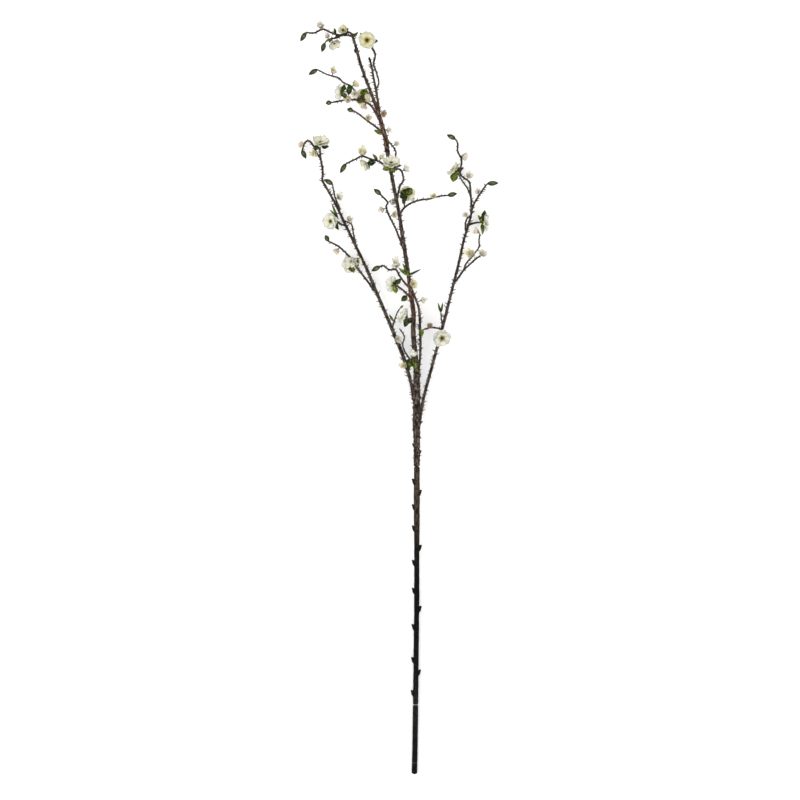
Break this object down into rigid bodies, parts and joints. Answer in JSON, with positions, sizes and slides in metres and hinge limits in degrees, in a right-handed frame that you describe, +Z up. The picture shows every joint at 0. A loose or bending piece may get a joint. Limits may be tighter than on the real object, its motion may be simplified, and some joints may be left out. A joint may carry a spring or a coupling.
{
  "type": "artificial blossom branch",
  "caption": "Long artificial branch lying down: dark plug-together stem, three thorny branches with twigs, cream double blossoms, small half-open blossoms, green tip buds and leaves.",
  "frame": {"origin": "middle of the small flat under the foot of the stem, 40 mm from the cut end, on the surface that the branch lies on", "axes": "+Y from the cut end of the stem to the tip of the branch, +Z up from the surface, +X to the right seen from above"},
  "size_m": [0.3198, 1.2028, 0.0733],
  "materials": {
    "stem": "dark grey-brown moulded plastic, slightly satin, mottled",
    "bark": "moulded bark, brown-purple with lighter speckles, matt; the tip buds on it are green",
    "petals": "cream-white cloth, thin and matt, with a dark olive-brown centre",
    "leaves": "dark green to olive printed cloth, matt"
  },
  "bodies": {
    "root": {"bloom_centre_front": "petals", "bloom_centre_low": "petals", "bloom_left_floor": "petals", "bloom_left_tip": "petals", "bloom_left_upper": "petals", "bloom_mid_down": "petals", "bloom_mid_left": "petals", "bloom_mid_top": "petals", "bloom_right_floor": "petals", "bloom_right_front": "petals", "bloom_right_upper": "petals", "bloom_tip": "petals", "bloom_tip_bud": "petals", "bloom_tip_left": "petals", "bloom_trunk_bud": "petals", "bloom_upper_far": "petals", "bloom_upper_near": "petals", "calyx_centre_front": "leaves", "calyx_centre_low": "leaves", "calyx_left_floor": "leaves", "calyx_left_tip": "leaves", "calyx_left_upper": "leaves", "calyx_mid_down": "leaves", "calyx_mid_left": "leaves", "calyx_mid_top": "leaves", "calyx_right_floor": "leaves", "calyx_right_front": "leaves", "calyx_right_upper": "leaves", "calyx_tip": "leaves", "calyx_tip_bud": "leaves", "calyx_tip_left": "leaves", "calyx_trunk_bud": "leaves", "calyx_upper_far": "leaves", "calyx_upper_near": "leaves", "centre_branch": "bark", "leaf_group": "leaves", "left_branch": "bark", "right_branch": "bark", "spray_fork": "bark", "spray_inner": "bark", "spray_left": "bark", "spray_left_tip": "bark", "spray_low": "bark", "spray_mid": "bark", "spray_right": "bark", "spray_right_low": "bark", "spray_side": "bark", "spray_tip": "bark", "spray_upper": "bark", "stem_foot": "stem", "stem_middle": "stem"}
  },
  "joints": []
}
